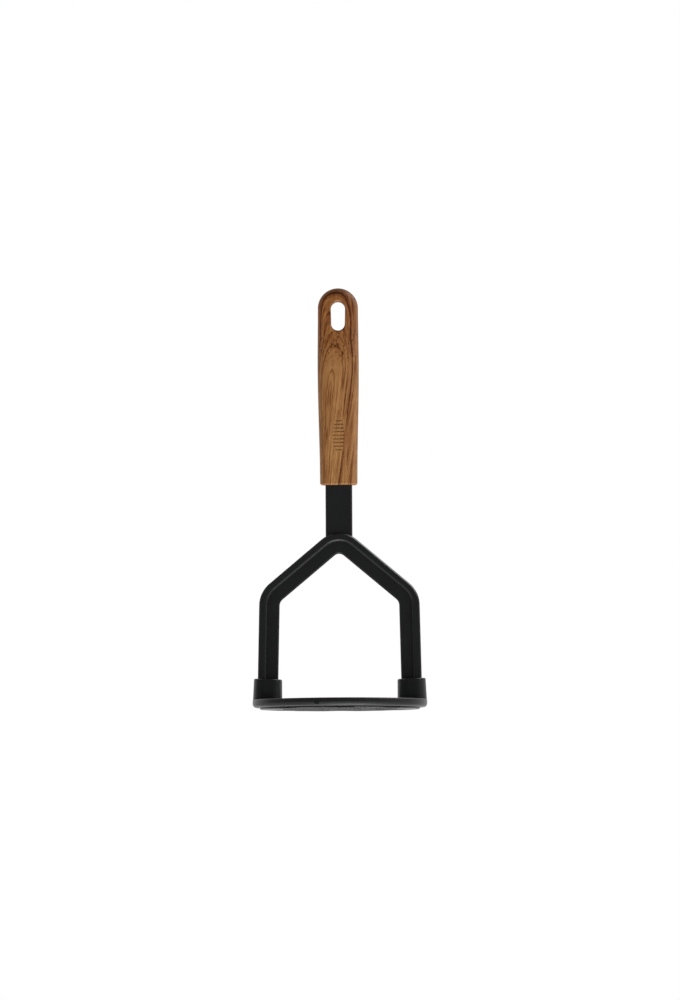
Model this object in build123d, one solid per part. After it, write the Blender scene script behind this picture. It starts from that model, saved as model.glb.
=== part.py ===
from build123d import *
from math import asin, atan, atan2, cos, pi, radians, sin, sqrt, tan
import os

# Potato masher: a wood-effect handle, a nylon frame with a house-shaped yoke, and a lattice plate.
# Millimetres. +Z is up, +X is to the right and the front faces -Y.
# The origin is the middle of the base, level with the undersides of the lattice ribs.

# Fits shared by the pieces
fit_clearance = 0.12
overrun = 1.0

# Mashing plate: rim
plate_length = 110.0
plate_depth = 88.0
plate_end_radius = 36.0
rim_height = 5.0
rim_wall = 3.0
rim_lower_round = 2.3
rim_round_steps = 3
rim_upper_chamfer = 0.5

# Mashing plate: flat recess in the front of the rim, where the moulding was cut from its runner
gate_mark_across = -14.6
gate_mark_height = 3.0
gate_mark_radius = 1.6
gate_mark_depth = 0.5

# Mashing plate: lattice of wavy ribs
lattice_inset = 4.6
lattice_drop = 1.1
lattice_thickness = 3.6
lattice_edge_chamfer = 0.4
hole_rim_gap = 0.6
rib_width = 2.3
wave_length = 24.0
row_pitch = 7.6
wave_crest_radius = 5.5
smallest_hole_share = 0.22

# Mashing plate: sockets for the legs
socket_height = 19.1
socket_depth = 17.4
socket_wall = 2.4
socket_floor_height = 4.8
socket_flare = 0.75
socket_foot_inset = 0.25
socket_margin = 0.8
socket_mouth_chamfer = 0.5
socket_mouth_tilt = 2.3
socket_corner_radius = 6.8

# Frame: yoke of T section, whose flange is outside and whose web is inside
shoulder_height = 73.9
arch_slope = 40.0
leg_splay = 1.3
apex_radius = 17.4
shoulder_radius = 18.2
flange_thickness = 5.2
flange_depth = 11.0
flange_outer_chamfer = 0.8
flange_inner_round = 1.7
web_width = 7.7
web_thickness = 4.0
web_edge_chamfer = 0.9

# Frame: stem and tang
stem_width = 16.9
stem_thickness = 6.5
stem_edge_round = 1.5
stem_seat_depth = 9.0
tang_width = 12.4
tang_thickness = 5.0
tang_length = 46.0
tang_tip_chamfer = 1.5
tang_tip_gap = 0.6
barb_count = 3
barb_pitch = 12.0
barb_height = 1.2
barb_length = 4.0

# Handle
handle_bottom_height = 141.3
handle_length = 124.1
neck_width = 23.5
neck_depth = 15.5
palm_width = 26.0
palm_depth = 18.2
palm_to_cap_rise = 36.9
cap_radius = 12.65
cap_depth = 13.0
crown_radius = 38.0
grip_corner_share = 0.36
neck_edge_chamfer = 0.9
neck_to_palm_runs = 5
palm_to_cap_runs = 6

# Handle: hanging slot
slot_top_wall = 8.5
slot_length = 18.4
slot_top_width = 9.0
slot_bottom_width = 8.5
slot_edge_chamfer = 0.8

# Handle: thumb grip of short grooves whose ends follow an oval outline
groove_count = 9
groove_pitch = 2.29
groove_width = 0.85
groove_depth = 0.7
thumb_grip_width = 7.3
thumb_grip_height = 21.6
thumb_grip_rise = 31.1

# Places worked out from the sizes
rim_top = lattice_drop + rim_height
yoke_band = flange_thickness + web_width
slope = radians(arch_slope)
splay = radians(leg_splay)
mouth_outer_x = plate_length / 2 - socket_foot_inset - socket_flare
leg_outer_x = mouth_outer_x - socket_wall
shoulder_x = leg_outer_x - (shoulder_height - socket_height) * tan(splay)
apex_height = shoulder_height + shoulder_x * tan(slope)
stem_seat_height = handle_bottom_height + stem_seat_depth
tang_top = stem_seat_height + tang_length
cap_centre_height = handle_bottom_height + handle_length - cap_radius
palm_height = cap_centre_height - palm_to_cap_rise


def on_circle(centre, radius, angle):
    """The point of a circle at an angle from +X towards +Y."""
    return (centre[0] + radius * cos(angle), centre[1] + radius * sin(angle))


def arc(centre, radius, start, end):
    """Part of a circle between two angles."""
    angles = (start, (start + end) / 2, end)
    return ThreePointArc(*[on_circle(centre, radius, angle) for angle in angles])


def mirrored_both_ways(edges):
    """Closed face from the edges of its quarter at +X and +Y."""
    right = edges + [mirror(edge, Plane.XZ) for edge in edges]
    return make_face(right + [mirror(edge, Plane.YZ) for edge in right])


# Mashing plate


def side_radius():
    """Radius of the plate's long sides, which meet the round ends smoothly."""
    half_length, half_depth = plate_length / 2, plate_depth / 2
    rise = 2 * (half_depth - plate_end_radius)
    return (half_length**2 + half_depth**2 - 2 * half_length * plate_end_radius) / rise


def oval(inset):
    """Plan of the plate, moved inward by inset: four arcs that meet smoothly."""
    end_centre = plate_length / 2 - plate_end_radius
    side_centre = plate_depth / 2 - side_radius()
    joint = atan2(-side_centre, end_centre)
    end_arc = arc((end_centre, 0), plate_end_radius - inset, 0, joint)
    side_arc = arc((0, side_centre), side_radius() - inset, joint, pi / 2)
    return mirrored_both_ways([end_arc, side_arc])


def rim_blank():
    """Outside of the rim, whose lower edge rolls inward in a few narrow flats."""
    rolled = []
    for step in range(rim_round_steps + 1):
        turn = pi / 2 * step / rim_round_steps
        height = lattice_drop + rim_lower_round * (1 - cos(turn))
        rolled.append(Pos(0, 0, height) * oval(rim_lower_round * (1 - sin(turn))))
    wall = extrude(oval(0), rim_height - rim_lower_round)
    return loft(rolled, ruled=True) + Pos(0, 0, lattice_drop + rim_lower_round) * wall


def plate_blank():
    """Rim and lattice slab before the holes: the slab hangs below the rim and lies low inside it."""
    rim = chamfer(rim_blank().edges().group_by(Axis.Z)[-1], rim_upper_chamfer)
    rim -= Pos(0, 0, lattice_thickness) * extrude(oval(rim_wall), rim_top - lattice_thickness + overrun)
    slab = extrude(oval(lattice_inset), lattice_thickness)
    slab = chamfer(slab.edges().group_by(Axis.Z)[0], lattice_edge_chamfer)
    return rim + slab


def lattice_hole():
    """One eye-shaped hole: the ribs beside it rise straight from its tips and bend over its crests."""
    climb = atan(2 * row_pitch / wave_length)
    half_length = wave_length / 2 - rib_width / 2 / sin(climb)
    crest_centre = half_length * tan(climb) - wave_crest_radius / cos(climb)
    bend_start = (-wave_crest_radius * sin(climb), crest_centre + wave_crest_radius * cos(climb))
    bend_end = (-bend_start[0], bend_start[1])
    upper = [
        Line((-half_length, 0), bend_start),
        ThreePointArc(bend_start, (0, crest_centre + wave_crest_radius), bend_end),
        Line(bend_end, (half_length, 0)),
    ]
    return make_face(upper + [mirror(edge, Plane.XZ) for edge in upper])


def socket_plan(flare, margin):
    """Plan of the right-hand socket, flared on its outer side and grown by a margin all round."""
    width = yoke_band + 2 * socket_wall + flare + 2 * margin
    depth = socket_depth + flare + 2 * margin
    centre = mouth_outer_x - yoke_band / 2 - socket_wall + flare / 2
    return Pos(centre, 0) * RectangleRounded(width, depth, socket_corner_radius + margin)


def socket_body():
    """Right-hand socket: flared towards the rim, with a mouth that is square to the leg."""
    foot = socket_plan(socket_flare, 0)
    foot_height = lattice_drop + rim_lower_round
    upper = [Pos(0, 0, rim_top) * foot, Pos(0, 0, socket_height + overrun) * socket_plan(0, 0)]
    body = loft(upper, ruled=True) + Pos(0, 0, foot_height) * extrude(foot, rim_top - foot_height)
    tilt = radians(socket_mouth_tilt)
    middle = mouth_outer_x - yoke_band / 2 - socket_wall
    mouth = Plane(origin=(middle, 0, socket_height), z_dir=(-sin(tilt), 0, cos(tilt)))
    body = split(body, mouth, keep=Keep.BOTTOM)
    return chamfer(body.faces().sort_by(Axis.Z)[-1].edges(), socket_mouth_chamfer)


def lattice_holes():
    """All holes, in rows shifted by half a wave, trimmed to the inside of the rim and the sockets."""
    hole = lattice_hole()
    right_foot = socket_plan(socket_flare, socket_margin)
    field = oval(rim_wall + hole_rim_gap) - right_foot - mirror(right_foot, Plane.YZ)
    rows = int(plate_depth / 2 / row_pitch) + 1
    columns = int(plate_length / 2 / wave_length) + 1
    kept = []
    for row in range(-rows, rows + 1):
        shift = wave_length / 2 if row % 2 == 0 else 0
        for column in range(-columns - 1, columns + 1):
            place = Pos(column * wave_length + shift, row * row_pitch)
            kept += (place * hole & field).faces()
    return [face for face in kept if face.area > smallest_hole_share * hole.area]


def gate_mark():
    """Cutter for the round flat recess where the moulding was cut from its runner."""
    lean = asin(gate_mark_across / side_radius())
    outward = Vector(sin(lean), -cos(lean), 0)
    side_centre = Vector(0, side_radius() - plate_depth / 2, gate_mark_height)
    middle = side_centre + outward * (side_radius() - gate_mark_depth)
    bottom = Plane(origin=middle, x_dir=(cos(lean), sin(lean), 0), z_dir=outward)
    return extrude(bottom * Circle(gate_mark_radius), gate_mark_depth + overrun)


def mashing_plate():
    """Plate with its holes, its two sockets and the pockets that the leg ends stand in."""
    holes = [extrude(face, rim_top + overrun) for face in lattice_holes()]
    right_socket = socket_body()
    plate = plate_blank() - holes - gate_mark() + right_socket + mirror(right_socket, Plane.YZ)
    return plate - yoke_body(socket_floor_height, fit_clearance)


# Frame


def yoke_outline(inset, foot_height):
    """Closed outline of the yoke, moved inward by inset, with rounded apex and shoulders."""
    apex = apex_height - inset / cos(slope)
    rise = 1 - tan(slope) * tan(splay)
    corner_x = (shoulder_x + (shoulder_height - apex) * tan(splay) - inset / cos(splay)) / rise
    corner_z = apex - corner_x * tan(slope)
    foot_x = corner_x + (corner_z - foot_height) * tan(splay)
    right_side = [(corner_x, corner_z), (foot_x, foot_height)]
    left_side = [(-foot_x, foot_height), (-corner_x, corner_z)]
    outline = make_face(Polyline((0, apex), *right_side, *left_side, close=True))
    top = outline.vertices().sort_by(Axis.Y)[-1]
    outline = fillet(top, apex_radius - inset)
    shoulders = outline.vertices().filter_by(lambda v: abs(v.Y - corner_z) < corner_z - foot_height)
    shoulders = ShapeList(v for v in shoulders if abs(abs(v.X) - corner_x) < apex_radius / 2)
    return fillet(shoulders, shoulder_radius - inset)


def band(outer_inset, inner_inset, depth, foot_height):
    """One layer of the T section: the band between two outlines, centred on the XZ plane."""
    outer = yoke_outline(outer_inset, foot_height)
    inner = yoke_outline(inner_inset, foot_height - overrun)
    return extrude(Plane.XZ * (outer - inner), depth / 2, both=True)


def long_edges(solid, depth, foot_height):
    """Edges that run along the yoke on the front and back faces of a band."""
    sides = ShapeList(e for e in solid.edges() if abs(abs(e.center().Y) - depth / 2) < depth / 8)
    return ShapeList(e for e in sides if e.center().Z > foot_height + overrun / 2)


def yoke_body(foot_height, grow):
    """Flange and web together, grown by a clearance when they are used to cut the sockets."""
    flange = band(-grow, flange_thickness + grow, flange_depth + 2 * grow, foot_height)
    web = band(flange_thickness / 2, yoke_band + grow, web_thickness + 2 * grow, foot_height)
    return flange + web


def rounded_yoke():
    """Yoke of the frame with its moulded edges."""
    foot_height = socket_floor_height
    flange = band(0, flange_thickness, flange_depth, foot_height)
    edges = long_edges(flange, flange_depth, foot_height)
    middle = yoke_outline(flange_thickness / 2, foot_height)
    inner = ShapeList(e for e in edges if within(middle, e))
    outer = ShapeList(e for e in edges if not within(middle, e))
    flange = fillet(inner, flange_inner_round)
    outer = ShapeList(matching_edge(flange, e) for e in outer)
    flange = chamfer(outer, flange_outer_chamfer)
    web = band(flange_thickness / 2, yoke_band, web_thickness, foot_height)
    edges = long_edges(web, web_thickness, foot_height)
    middle = yoke_outline(flange_thickness + web_width / 2, foot_height)
    web = chamfer(ShapeList(e for e in edges if within(middle, e)), web_edge_chamfer)
    return flange + web


def within(outline, edge):
    """Whether the middle of an edge, seen from the front, lies inside an outline."""
    middle = edge @ 0.5
    return outline.face().is_inside(Vector(middle.X, middle.Z, 0))


def matching_edge(solid, edge):
    """The edge of a solid whose middle is nearest to that of an edge it had before."""
    return solid.edges().sort_by_distance(edge @ 0.5)[0]


def stem_section(grow):
    """Flat section of the stem with rounded edges."""
    return RectangleRounded(stem_width + 2 * grow, stem_thickness + 2 * grow, stem_edge_round + grow)


def stem_body():
    """Stem from inside the flange at the apex up to the seat inside the handle."""
    low = apex_height - apex_radius
    stem = Pos(0, 0, low) * extrude(stem_section(0), stem_seat_height - low)
    inside = extrude(
        Plane.XZ * yoke_outline(flange_thickness / 2, socket_floor_height), stem_thickness, both=True
    )
    return stem - inside


def tang_body(grow, tip_gap):
    """Tang with its barbs, grown by a clearance when it is used to cut the handle's pocket."""
    half_width = tang_width / 2 + grow
    top = tang_top + tip_gap
    blade = Polyline(
        (half_width, stem_seat_height),
        (half_width, top - tang_tip_chamfer),
        (half_width - tang_tip_chamfer, top),
        (-half_width + tang_tip_chamfer, top),
        (-half_width, top - tang_tip_chamfer),
        (-half_width, stem_seat_height),
        close=True,
    )
    profile = make_face(blade)
    for number in range(barb_count):
        foot = stem_seat_height + barb_pitch * (number + 1)
        barb = make_face(
            Polyline(
                (tang_width / 2 - overrun, foot - grow),
                (half_width + barb_height, foot - grow),
                (half_width, foot + barb_length + grow),
                (tang_width / 2 - overrun, foot + barb_length + grow),
                close=True,
            )
        )
        profile += [barb, mirror(barb, Plane.YZ)]
    return extrude(Plane.XZ * profile, tang_thickness / 2 + grow, both=True)


def frame():
    """Yoke, stem and tang in one moulding."""
    return rounded_yoke() + stem_body() + tang_body(0, 0)


# Handle


def ease(share):
    """A smooth rise from 0 to 1."""
    return share * share * (3 - 2 * share)


def grip_stations():
    """Height, width and depth of the grip from the neck by way of the palm to the cap."""
    stations = []
    for run in range(neck_to_palm_runs):
        share = run / neck_to_palm_runs
        width = neck_width + (palm_width - neck_width) * ease(share)
        depth = neck_depth + (palm_depth - neck_depth) * ease(share)
        height = handle_bottom_height + (palm_height - handle_bottom_height) * share
        stations.append((height, width, depth))
    for run in range(palm_to_cap_runs + 1):
        share = run / palm_to_cap_runs
        width = palm_width + (2 * cap_radius - palm_width) * ease(share)
        depth = palm_depth + (cap_depth - palm_depth) * ease(share)
        stations.append((palm_height + palm_to_cap_rise * share, width, depth))
    return stations


def grip_quarter(width, depth):
    """Edges of the grip's section at +X and +Y: crowned face, rolled corner and flat side."""
    corner = depth * grip_corner_share
    crown_centre = depth / 2 - crown_radius
    corner_x = width / 2 - corner
    corner_y = crown_centre + sqrt((crown_radius - corner) ** 2 - corner_x**2)
    joint = atan2(corner_y - crown_centre, corner_x)
    return [
        Line((width / 2, 0), (width / 2, corner_y)),
        arc((corner_x, corner_y), corner, 0, joint),
        arc((0, crown_centre), crown_radius, joint, pi / 2),
    ]


def grip_body():
    """Grip lofted through its stations, with a cap turned about the centre of its round end."""
    grip = loft(
        [Pos(0, 0, height) * mirrored_both_ways(grip_quarter(width, depth)) for height, width, depth
         in grip_stations()],
        ruled=True,
    )
    grip = chamfer(grip.edges().group_by(Axis.Z)[0], neck_edge_chamfer)
    quarter = grip_quarter(2 * cap_radius, cap_depth)
    half = make_face(
        quarter
        + [mirror(edge, Plane.XZ) for edge in quarter]
        + [Line((0, -cap_depth / 2), (0, cap_depth / 2))]
    )
    turning_axis = Axis((0, 0, cap_centre_height), (0, -1, 0))
    return grip + revolve(Pos(0, 0, cap_centre_height) * half, turning_axis, 180)


def slot_cutter():
    """Hanging slot, a little narrower at its lower end."""
    top_centre = handle_bottom_height + handle_length - slot_top_wall - slot_top_width / 2
    bottom_centre = top_centre + slot_top_width / 2 - slot_length + slot_bottom_width / 2
    ends = Pos(0, top_centre) * Circle(slot_top_width / 2)
    ends += Pos(0, bottom_centre) * Circle(slot_bottom_width / 2)
    return extrude(Plane.XZ * make_hull(ends.edges()), palm_depth, both=True)


def front_of_grip(height):
    """How far the front of the grip stands out at a height, between the stations on either side."""
    stations = grip_stations()
    for (low, _, low_depth), (high, _, high_depth) in zip(stations, stations[1:]):
        if low <= height <= high:
            return (low_depth + (high_depth - low_depth) * (height - low) / (high - low)) / 2


def thumb_grooves():
    """Short level grooves in the front of the grip, whose ends follow an oval outline."""
    middle = handle_bottom_height + thumb_grip_rise
    cutters = []
    for number in range(groove_count):
        rise = (number - (groove_count - 1) / 2) * groove_pitch
        length = thumb_grip_width * sqrt(1 - (2 * rise / thumb_grip_height) ** 2)
        bottom = Plane.XZ.offset(front_of_grip(middle + rise) - groove_depth)
        groove = bottom * (Pos(0, middle + rise) * Rectangle(length, groove_width))
        cutters.append(extrude(groove, groove_depth + overrun))
    return cutters


def handle():
    """Grip with its slot, its thumb grip and the pocket for the stem and the tang."""
    grip = grip_body() - slot_cutter()
    rims = ShapeList(e for e in grip.edges() if is_slot_rim(e))
    grip = chamfer(rims, slot_edge_chamfer) - thumb_grooves()
    seat = Pos(0, 0, handle_bottom_height - overrun) * extrude(
        stem_section(fit_clearance), stem_seat_depth + overrun
    )
    return grip - seat - tang_body(fit_clearance, tang_tip_gap)


def is_slot_rim(edge):
    """Whether an edge runs round the mouth of the hanging slot."""
    middle = edge @ 0.5
    high = middle.Z > handle_bottom_height + handle_length - slot_top_wall - slot_length - overrun
    return high and abs(middle.X) < slot_top_width / 2 + overrun / 2 and abs(middle.Y) > cap_depth / 4


os.makedirs("parts", exist_ok=True)
export_step(mashing_plate(), "parts/mashing_plate.step")
export_step(frame(), "parts/frame.step")
export_step(handle(), "parts/handle.step")
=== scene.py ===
from math import cos, e, radians, sin

import bmesh
import bpy
from mathutils import Matrix, Vector


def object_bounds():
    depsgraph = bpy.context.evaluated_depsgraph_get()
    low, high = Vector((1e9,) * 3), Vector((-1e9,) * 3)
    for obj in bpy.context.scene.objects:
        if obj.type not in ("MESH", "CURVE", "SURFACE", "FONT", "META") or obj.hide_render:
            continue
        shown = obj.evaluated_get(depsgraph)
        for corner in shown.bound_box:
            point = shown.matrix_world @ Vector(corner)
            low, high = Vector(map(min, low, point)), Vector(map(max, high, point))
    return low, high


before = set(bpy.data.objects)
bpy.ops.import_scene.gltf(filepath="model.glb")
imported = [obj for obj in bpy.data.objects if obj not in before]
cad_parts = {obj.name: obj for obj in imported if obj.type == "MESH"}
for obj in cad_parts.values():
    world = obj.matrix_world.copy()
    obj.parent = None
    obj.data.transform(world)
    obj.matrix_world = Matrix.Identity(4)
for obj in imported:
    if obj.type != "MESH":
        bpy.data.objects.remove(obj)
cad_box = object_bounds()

# Potato masher: a wood-effect handle, a nylon frame with a house-shaped yoke, and a lattice plate.
# Metres, in the same frame as the construction. +Z is up and the front faces -Y.

mm = 0.001

# Camera: a long lens from a little below, at the picture's 680 by 1000 pixels
picture_height = 1000
metres_per_pixel = 0.63 * mm
sensor_size = 36.0
camera_distance = 12.0
camera_reach = 100.0
camera_elevation = radians(-2.5)
camera_roll = radians(-0.3)
aim_height = 131.9 * mm
aim_across = 0.7 * mm

# Studio light round the object, from 0, dark, to 1, white. It is dim in front, brighter to the right,
# and white below and behind
front_level = 0.08
side_level = 0.42
back_level = 0.9
below_level = 1.0
left_dimming = 0.5
right_gain = 0.25
above_dimming = 0.6
under_mirror_dimming = 0.5

# Where that light starts and stops changing, as the share of a direction that lies along X, Y or Z
side_light_span = (-0.95, -0.3)
back_light_span = (-0.2, 0.5)
below_light_span = (0.05, -0.35)
left_light_span = (0.1, -0.9)
right_light_span = (0.1, 0.9)
above_light_span = (0.1, 0.8)
mirror_span = (-0.05, 0.2)
under_mirror_span = (0.0, -0.12)

# Soft lamps, all of one size and at one distance from the middle
lamp_distance = 1.3
lamp_size = 0.9
lamps = [
    # name, degrees round from the front and up, power, lights surfaces, is mirrored in them
    ("key", 62, -2, 7.5, True, False),
    ("fill", -62, 8, 5.0, True, False),
    ("front", 8, -8, 3.0, True, False),
    ("under", 20, -66, 16.0, True, True),
    ("edge", 86, 46, 18.0, False, True),
]

# Pale ground just under the base, which fades into the backdrop over a distance in millimetres
ground_radius = 2.0
ground_segments = 96
ground_gap = 0.1 * mm
ground_shade = 240
ground_glow = 0.5
ground_fade_span = (350.0, 1100.0)

# White light, and the level that noise lies about
white = (1, 1, 1, 1)
noise_middle = 0.5


def colour(red, green, blue):
    """Linear colour from the 0 to 255 values that a screen shows."""
    def linear(value):
        share = value / 255
        return share / 12.92 if share <= 0.04045 else ((share + 0.055) / 1.055) ** 2.4
    return (linear(red), linear(green), linear(blue), 1.0)


class Signal:
    """A value that varies over a surface, so that shader maths reads as plain expressions."""

    def __init__(self, finish, socket):
        self.finish, self.socket = finish, socket

    def math(self, operation, *terms):
        sockets = dict(enumerate(terms))
        return self.finish.make("ShaderNodeMath", {"operation": operation}, sockets)

    def __add__(self, other):
        return self.math("ADD", self, other)

    def __radd__(self, other):
        return self.math("ADD", other, self)

    def __sub__(self, other):
        return self.math("SUBTRACT", self, other)

    def __rsub__(self, other):
        return self.math("SUBTRACT", other, self)

    def __mul__(self, other):
        return self.math("MULTIPLY", self, other)

    def __rmul__(self, other):
        return self.math("MULTIPLY", other, self)

    def __truediv__(self, other):
        return self.math("DIVIDE", self, other)

    def __rtruediv__(self, other):
        return self.math("DIVIDE", other, self)

    def __abs__(self):
        return self.math("ABSOLUTE", self)

    def __pow__(self, other):
        return self.math("POWER", self, other)

    def at_least(self, other):
        return self.math("MAXIMUM", self, other)


class Finish:
    """One material. make() adds any node: its settings first, then the values or links of its sockets."""

    def __init__(self, tree):
        self.tree = tree
        tree.nodes.clear()

    def make(self, kind, settings=(), sockets=(), output=0):
        node = self.tree.nodes.new(kind)
        for name, value in dict(settings).items():
            if name == "stops":
                self.set_stops(node.color_ramp, value)
            else:
                setattr(node, name, value)
        for name, value in dict(sockets).items():
            if isinstance(value, Signal):
                self.tree.links.new(value.socket, node.inputs[name])
            else:
                node.inputs[name].default_value = value
        return Signal(self, node.outputs[output]) if node.outputs else None

    def set_stops(self, ramp, stops):
        for place, shade in stops[len(ramp.elements):]:
            ramp.elements.new(place)
        for element, (place, shade) in zip(ramp.elements, stops):
            element.position, element.color = place, shade

    def place(self):
        """Object coordinates in millimetres."""
        here = self.make("ShaderNodeTexCoord", output="Object")
        return self.scaled(here, (1 / mm, 1 / mm, 1 / mm))

    def scaled(self, vector, scale):
        return self.make("ShaderNodeMapping", (), {"Vector": vector, "Scale": scale})

    def axes(self, vector):
        split = self.make("ShaderNodeSeparateXYZ", (), {"Vector": vector}).socket.node
        return [Signal(self, socket) for socket in split.outputs]

    def point(self, x, y, z):
        return self.make("ShaderNodeCombineXYZ", (), {"X": x, "Y": y, "Z": z})

    def noise(self, vector, scale, detail=2.0, roughness=0.5):
        """Soft noise from 0 to 1, with its number of waves a unit as one scale or one for each axis."""
        if isinstance(scale, tuple):
            vector, scale = self.scaled(vector, scale), 1.0
        sockets = {"Vector": vector, "Scale": scale, "Detail": detail, "Roughness": roughness}
        return self.make("ShaderNodeTexNoise", {"noise_dimensions": "3D"}, sockets)

    def swing(self, vector, scale, detail=2.0, roughness=0.5):
        """The same noise, above and below zero."""
        return self.noise(vector, scale, detail, roughness) - noise_middle

    def mix(self, share, first, second, blend="MIX"):
        """Two colours, in sockets 6 and 7, mixed or multiplied. Output 2 gives the colour."""
        settings = {"data_type": "RGBA", "blend_type": blend}
        return self.make("ShaderNodeMix", settings, {0: share, 6: first, 7: second}, output=2)

    def smooth(self, value, start, end):
        """A smooth change from 0 at the start to 1 at the end, whichever of the two is larger."""
        settings = {"interpolation_type": "SMOOTHSTEP"}
        sockets = {"Value": value, "From Min": start, "From Max": end}
        return self.make("ShaderNodeMapRange", settings, sockets)

    def softplus(self, value, width):
        """Nothing below zero and the value itself above, with a rounded corner of that width."""
        grown = (value / width).math("EXPONENT", value / width) + 1.0
        return width * grown.math("LOGARITHM", grown, e)

    def bump(self, height, strength, distance):
        sockets = {"Strength": strength, "Distance": distance, "Height": height}
        return self.make("ShaderNodeBump", (), sockets)

    def surface(self, sockets):
        shader = self.make("ShaderNodeBsdfPrincipled", (), sockets)
        self.make("ShaderNodeOutputMaterial", (), {"Surface": shader})


def new_material(name):
    material = bpy.data.materials.new(name)
    material.use_nodes = True
    return material, Finish(material.node_tree)


# Wood-effect print: growth rings of a flat-sawn board, in millimetres. They close in pointed arches
# below the slot and in rounder ones above it, lean to the left on their way down, and run on from
# the front face round the sides to the back
ring_middle = -2.1
round_power = 2.0
arch_foot_height = 204.0
arch_slope = 0.287
arch_shoulder_height = 232.0
arch_flattening = 0.154
arch_width = 5.0
arch_squareness = 1.2
arch_square_span = (232.0, 250.0)
lean_start_height = 228.7
lean_slope = 0.125
lean_width = 6.0
lean_span = (-16.0, -3.0)
front_face_place = -8.0
depth_slope = 0.35
side_slope = 0.5
side_span = (9.0, 13.5)

# Strong lines of the print, which fade and break, and are weaker low down and near the cap
strong_rings = [
    # radius, width and strength
    (1.1, 0.4, 0.35),
    (2.5, 0.4, 0.6),
    (5.0, 0.3, 0.1),
    (7.2, 0.5, 0.65),
    (8.8, 0.4, 0.3),
    (10.5, 0.55, 0.6),
    (11.9, 0.35, 0.3),
    (13.1, 0.75, 1.25),
    (14.6, 0.4, 0.3),
    (16.4, 0.5, 0.3),
]
faintest_line = 0.2
faintest_break = 0.35
break_gain = 1.1
low_line_strength = 0.5
low_line_span = (150.0, 195.0)
cap_line_fading = 0.45
cap_line_span = (250.0, 262.0)

# Curls just under the slot, where the rings bend and break up
curl_height = 229.0
curl_core = 4.5
curl_reach = 15.0
curl_bend = 3.2
curl_bend_span = (5.0, 9.0)
curl_knot_push = 1.6
curl_jitter_push = 1.3
curl_ring_span = (9.5, 12.0)

# Noise in the print, in waves a millimetre across, deep and up, and how far it pushes the rings
wobble_waves = (0.07, 0.04, 0.035)
wobble_push = 1.1
ripple_waves = (0.5, 0.2, 0.12)
ripple_push = 0.6
jitter_waves = (1.5, 0.5, 0.3)
jitter_push = 0.5
knot_waves = (0.34, 0.2, 0.3)
fibre_waves = (1.9, 0.7, 0.09)
mottle_waves = (0.5, 0.25, 0.08)
fade_waves = (0.16, 0.16, 0.07)
break_waves = (0.5, 0.5, 0.3)
fleck_waves = (0.9, 0.9, 0.42)
fleck_span = (0.56, 0.7)
grain_waves = (6.0, 6.0, 0.8)

# Fine lines that follow the rings, in waves a millimetre across them, and the small shares of depth
# and height that bend them
line_stretch_shares = (0.12, 0.03)
hair_stretch_shares = (0.2, 0.07)
band_waves = 0.42
fine_line_waves = 1.9
fine_line_span = (0.52, 0.72)
thin_lines = [
    # waves, the noise level that a line follows, its width and its darkness
    (0.62, 0.5, 0.07, 0.22),
    (1.1, 0.46, 0.08, 0.16),
]
hair_waves = 4.5

# Darkness of the print, from 0, pale, to 1, dark, and what each part of it adds
middle_tone = 0.38
band_darkness = 0.4
fine_line_darkness = 0.28
fine_line_mean = 0.08
hair_darkness = 0.3
fibre_darkness = 0.42
mottle_darkness = 0.35
fleck_darkness = 0.3

# Bands and fine lines are calm inside the arches
calming = 0.8
calm_ring_span = (5.5, 8.0)
calm_height_span = (198.0, 208.0)

# The print is quiet in an oval at the thumb grip
grip_across = 0.7
grip_height = 173.5
grip_half_width = 6.0
grip_half_height = 11.5
grip_strength = 0.3
grip_edge_span = (0.6, 1.5)

# Painted shade over the print: darker towards the top and the left and lighter low down, as the handle is
# lit from the lower right, and a little darker on the right half. Then the print's own dark bands beyond
# its outer ring and in a streak low on the left
painted_shades = [
    # darkness, axis, where the shade starts and where it is full
    (0.06, "z", 215.0, 235.0),
    (-0.06, "z", 190.0, 145.0),
    (0.05, "x", 0.0, 6.0),
    (0.07, "x", -4.0, -12.5),
]
outer_shade = 0.14
outer_shade_span = (11.6, 13.2)
outer_shade_end_span = (7.5, 11.0)
low_shade = 0.14
low_shade_place = -9.3
low_shade_width = 2.2
low_shade_wobble = 0.5
low_shade_span = (190.0, 165.0)

# Inks of the print by darkness, and the redder tint of its upper end
inks = [
    (0.0, colour(172, 130, 82)),
    (0.3, colour(150, 108, 64)),
    (0.55, colour(122, 79, 41)),
    (0.8, colour(92, 50, 16)),
    (1.0, colour(62, 28, 4)),
]
red_tint = colour(255, 230, 210)
red_tint_share = 0.5
red_tint_span = (205.0, 250.0)

# Relief and gloss of the print: its fibres and a fine grain stand up, and its ink lies a little low
fibre_relief = 0.6
grain_relief = 0.4
ink_relief = 0.4
print_relief_strength = 0.15
print_relief_depth = 0.1 * mm
print_roughness = 0.46
fibre_roughness = 0.14
ink_roughness = 0.05
print_ior = 1.46
print_specular = 0.22


def board_rings(f, here, lean, curl, wobble):
    """Place across the board's rings, and the ring radius that the print's lines follow."""
    x, y, z = f.axes(here)
    ripple = f.swing(here, ripple_waves, detail=3.0)
    knots = f.swing(here, knot_waves)
    jitter = f.swing(here, jitter_waves)
    offset = x - ring_middle + lean
    offset = offset + wobble_push * wobble + ripple_push * ripple + jitter_push * jitter
    near_middle = 1.0 - f.smooth(abs(offset), *curl_bend_span)
    across = abs(offset + curl_bend * curl * near_middle * knots)
    behind_face = y - front_face_place
    depth = arch_slope * f.softplus(z - arch_foot_height, arch_width) + depth_slope * behind_face
    depth = abs(depth - arch_flattening * f.softplus(z - arch_shoulder_height, arch_width))
    power = round_power + arch_squareness * f.smooth(z, *arch_square_span)
    radius = (across ** power + depth ** power) ** (1.0 / power)
    radius = radius + side_slope * behind_face * f.smooth(abs(x), *side_span)
    inner = 1.0 - f.smooth(radius, *curl_ring_span)
    return offset, radius + curl * (curl_knot_push * knots + curl_jitter_push * jitter) * inner


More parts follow.
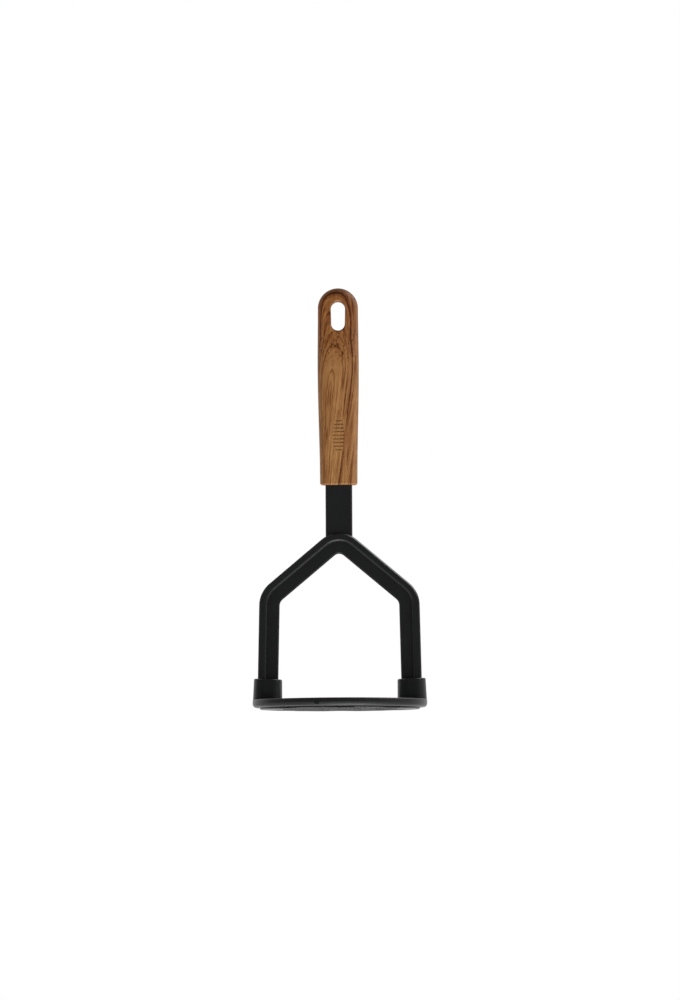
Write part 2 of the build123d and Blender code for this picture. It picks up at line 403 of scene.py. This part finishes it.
def strong_lines(f, here, radius):
    """Darkness of the strong lines, which fade and break along their way."""
    x, y, z = f.axes(here)
    lines = sum(
        strength * (1.0 - abs(radius - ring_radius) / width).at_least(0.0)
        for ring_radius, width, strength in strong_rings
    )
    fade = faintest_line + (1.0 - faintest_line) * f.noise(here, fade_waves)
    breaks = faintest_break + break_gain * f.noise(here, break_waves)
    low = low_line_strength + (1.0 - low_line_strength) * f.smooth(z, *low_line_span)
    return lines * fade * breaks * low * (1.0 - cap_line_fading * f.smooth(z, *cap_line_span))


def fine_lines(f, here, radius):
    """Darkness of the bands, fine lines and hairs that follow the rings."""
    x, y, z = f.axes(here)
    line_depth, line_height = line_stretch_shares
    hair_depth, hair_height = hair_stretch_shares
    along_line = f.point(radius, y * line_depth, z * line_height)
    along_hair = f.point(radius, y * hair_depth, z * hair_height)
    fine = f.noise(along_line, fine_line_waves, detail=3.0, roughness=0.65)
    lines = fine_line_darkness * f.smooth(fine, *fine_line_span)
    for waves, level, width, darkness in thin_lines:
        distance = abs(f.noise(along_line, waves, detail=1.0) - level)
        lines = lines + darkness * (1.0 - f.smooth(distance, 0.0, width))
    lines = lines - fine_line_mean + band_darkness * f.swing(along_line, band_waves)
    inside = 1.0 - f.smooth(radius, *calm_ring_span)
    calm = 1.0 - calming * inside * f.smooth(z, *calm_height_span)
    return calm * lines + hair_darkness * f.swing(along_hair, hair_waves)


def bands_and_painted_shade(f, here, offset, wobble):
    """Darkness of painted shade by height and from side to side, and of the print's bands beyond the
    outer ring and low on the left.
    """
    x, y, z = f.axes(here)
    places = {"x": x, "z": z}
    # Painted shade: darker towards the top and the left, lighter low down
    tone = sum(
        darkness * f.smooth(places[axis], start, full)
        for darkness, axis, start, full in painted_shades
    )
    beyond = f.smooth(offset, *outer_shade_span) * (1.0 - f.smooth(x, *outer_shade_end_span))
    distance = abs(x + low_shade_wobble * wobble - low_shade_place)
    low = (1.0 - distance / low_shade_width).at_least(0.0) * f.smooth(z, *low_shade_span)
    return tone + outer_shade * beyond + low_shade * low


def wood_print():
    material, f = new_material("wood_effect_print")
    here = f.place()
    x, y, z = f.axes(here)
    lean = lean_slope * f.softplus(lean_start_height - z, lean_width) * f.smooth(x, *lean_span)
    curl = 1.0 - f.smooth(abs(z - curl_height), curl_core, curl_reach)
    wobble = f.swing(here, wobble_waves)
    offset, radius = board_rings(f, here, lean, curl, wobble)
    leaning = f.point(x + lean, y, z)
    fibres = f.swing(leaning, fibre_waves, detail=3.0, roughness=0.6)
    mottle = f.swing(leaning, mottle_waves, detail=3.0, roughness=0.6)
    flecks = f.smooth(f.noise(here, fleck_waves), *fleck_span) * curl
    streaks = fibre_darkness * fibres + mottle_darkness * mottle + fleck_darkness * flecks
    lines = strong_lines(f, here, radius) + fine_lines(f, here, radius)
    grip_x = (x - grip_across) / grip_half_width
    grip_z = (z - grip_height) / grip_half_height
    grip_distance = grip_x * grip_x + grip_z * grip_z
    quiet = grip_strength + (1.0 - grip_strength) * f.smooth(grip_distance, *grip_edge_span)
    tone = middle_tone + quiet * (streaks + lines)
    # Adds painted shade by height and side, and the print's darker bands
    tone = tone + bands_and_painted_shade(f, here, offset, wobble)
    shade = f.make("ShaderNodeValToRGB", {"stops": inks}, {"Fac": tone})
    redder = red_tint_share * f.smooth(z, *red_tint_span)
    shade = f.mix(redder, shade, f.mix(1.0, shade, red_tint, "MULTIPLY"))
    grain = f.noise(here, grain_waves)
    relief = fibre_relief * fibres + grain_relief * grain - ink_relief * tone
    f.surface({
        "Base Color": shade,
        "Roughness": print_roughness + fibre_roughness * fibres + ink_roughness * tone,
        "Normal": f.bump(relief, print_relief_strength, print_relief_depth),
        "IOR": print_ior,
        "Specular IOR Level": print_specular,
    })
    return material


# Black nylon: satin, with a fine moulded texture and slow clouds in its colour and gloss
texture_waves = 2.4
cloud_waves = 0.06
nylon_dark = colour(13, 14, 14)
nylon_pale = colour(17, 18, 18)
nylon_relief_strength = 0.04
nylon_relief_depth = 0.05 * mm
nylon_roughness = 0.34
cloud_roughness = 0.08
texture_roughness = 0.06
nylon_ior = 1.5
nylon_specular = 0.35


def black_nylon():
    material, f = new_material("black_nylon")
    here = f.place()
    texture = f.swing(here, texture_waves, detail=3.0, roughness=0.6)
    cloud = f.swing(here, cloud_waves, detail=3.0, roughness=0.55)
    f.surface({
        "Base Color": f.mix(noise_middle + cloud, nylon_dark, nylon_pale),
        "Roughness": nylon_roughness + cloud_roughness * cloud + texture_roughness * texture,
        "Normal": f.bump(texture, nylon_relief_strength, nylon_relief_depth),
        "IOR": nylon_ior,
        "Specular IOR Level": nylon_specular,
    })
    return material


def dress(node, material):
    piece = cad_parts[node]
    piece.data.materials.clear()
    piece.data.materials.append(material)


nylon = black_nylon()
dress("handle", wood_print())
dress("frame", nylon)
dress("mashing_plate", nylon)


def pale_ground():
    """Paint that glows a little for the camera, and is clear from below and far from the object."""
    material, f = new_material("pale_ground")
    paint_colour = colour(ground_shade, ground_shade, ground_shade)
    paint = f.make("ShaderNodeBsdfDiffuse", (), {"Color": paint_colour})
    seen = f.make("ShaderNodeLightPath", output="Is Camera Ray")
    glow = f.make("ShaderNodeEmission", (), {"Color": white, "Strength": seen * ground_glow})
    lit = f.make("ShaderNodeAddShader", (), {0: paint, 1: glow})
    clear = f.make("ShaderNodeBsdfTransparent")
    x, y, z = f.axes(f.place())
    far = f.smooth((x * x + y * y) ** 0.5, *ground_fade_span)
    gone = far.at_least(f.make("ShaderNodeNewGeometry", output="Backfacing"))
    finish = f.make("ShaderNodeMixShader", (), {0: gone, 1: lit, 2: clear})
    f.make("ShaderNodeOutputMaterial", (), {"Surface": finish})
    return material


def make_floor():
    """Ground that the camera sees, with the object's shadow, and that changes no light on the object."""
    mesh = bpy.data.meshes.new("ground")
    ground = bpy.data.objects.new("ground", mesh)
    bpy.context.scene.collection.objects.link(ground)
    made = bmesh.new()
    bmesh.ops.create_circle(made, cap_ends=True, segments=ground_segments, radius=ground_radius)
    bmesh.ops.translate(made, verts=made.verts, vec=(0, 0, cad_box[0].z - ground_gap))
    made.to_mesh(mesh)
    made.free()
    mesh.materials.append(pale_ground())
    ground.visible_diffuse = False
    ground.visible_glossy = False
    ground.visible_transmission = False
    ground.visible_shadow = False


make_floor()


def make_world():
    """White to the camera and in gloss that faces the back, and the studio light to all else."""
    world = bpy.data.worlds.new("studio")
    bpy.context.scene.world = world
    world.use_nodes = True
    f = Finish(world.node_tree)
    x, y, z = f.axes(f.make("ShaderNodeTexCoord", output="Generated"))
    level = front_level + (side_level - front_level) * f.smooth(y, *side_light_span)
    level = level + (back_level - side_level) * f.smooth(y, *back_light_span)
    left = left_dimming * f.smooth(x, *left_light_span)
    right = right_gain * f.smooth(x, *right_light_span)
    level = level * (1.0 - left + right)
    level = level * (1.0 - above_dimming * f.smooth(z, *above_light_span))
    level = level.at_least(below_level * f.smooth(z, *below_light_span))
    camera_ray = f.make("ShaderNodeLightPath", output="Is Camera Ray")
    through_ray = f.make("ShaderNodeLightPath", output="Is Transmission Ray")
    mirror_ray = f.make("ShaderNodeLightPath", output="Is Glossy Ray")
    mirrored = mirror_ray * f.smooth(y, *mirror_span)
    mirrored = mirrored * (1.0 - under_mirror_dimming * f.smooth(z, *under_mirror_span))
    seen = camera_ray.at_least(through_ray).at_least(mirrored)
    strength = seen + (1.0 - seen) * level
    light = f.make("ShaderNodeBackground", (), {"Color": white, "Strength": strength})
    f.make("ShaderNodeOutputWorld", (), {"Surface": light})


make_world()


def make_lamp(name, azimuth, elevation, power, lights, mirrored):
    """A soft lamp aimed at the middle, which lights surfaces, is mirrored in them, or does both."""
    lamp = bpy.data.lights.new(name, "AREA")
    lamp.size, lamp.energy = lamp_size, power
    holder = bpy.data.objects.new(name, lamp)
    bpy.context.scene.collection.objects.link(holder)
    turn, rise = radians(azimuth), radians(elevation)
    back = Vector((sin(turn) * cos(rise), -cos(turn) * cos(rise), sin(rise)))
    holder.location = Vector((0, 0, aim_height)) + back * lamp_distance
    holder.rotation_euler = (-back).to_track_quat("-Z", "Y").to_euler()
    holder.visible_diffuse, holder.visible_glossy = lights, mirrored


for lamp_values in lamps:
    make_lamp(*lamp_values)


def make_camera():
    camera = bpy.data.cameras.new("camera")
    camera.sensor_width = sensor_size
    camera.lens = sensor_size * camera_distance / (picture_height * metres_per_pixel)
    camera.clip_end = camera_reach
    holder = bpy.data.objects.new("camera", camera)
    bpy.context.scene.collection.objects.link(holder)
    back = Vector((0, -cos(camera_elevation), sin(camera_elevation)))
    place = Vector((aim_across, 0, aim_height)) + back * camera_distance
    turn = (-back).to_track_quat("-Z", "Y").to_matrix().to_4x4()
    roll = Matrix.Rotation(camera_roll, 4, "Z")
    holder.matrix_world = Matrix.Translation(place) @ turn @ roll
    bpy.context.scene.camera = holder


make_camera()
bpy.context.scene.view_settings.view_transform = "Standard"
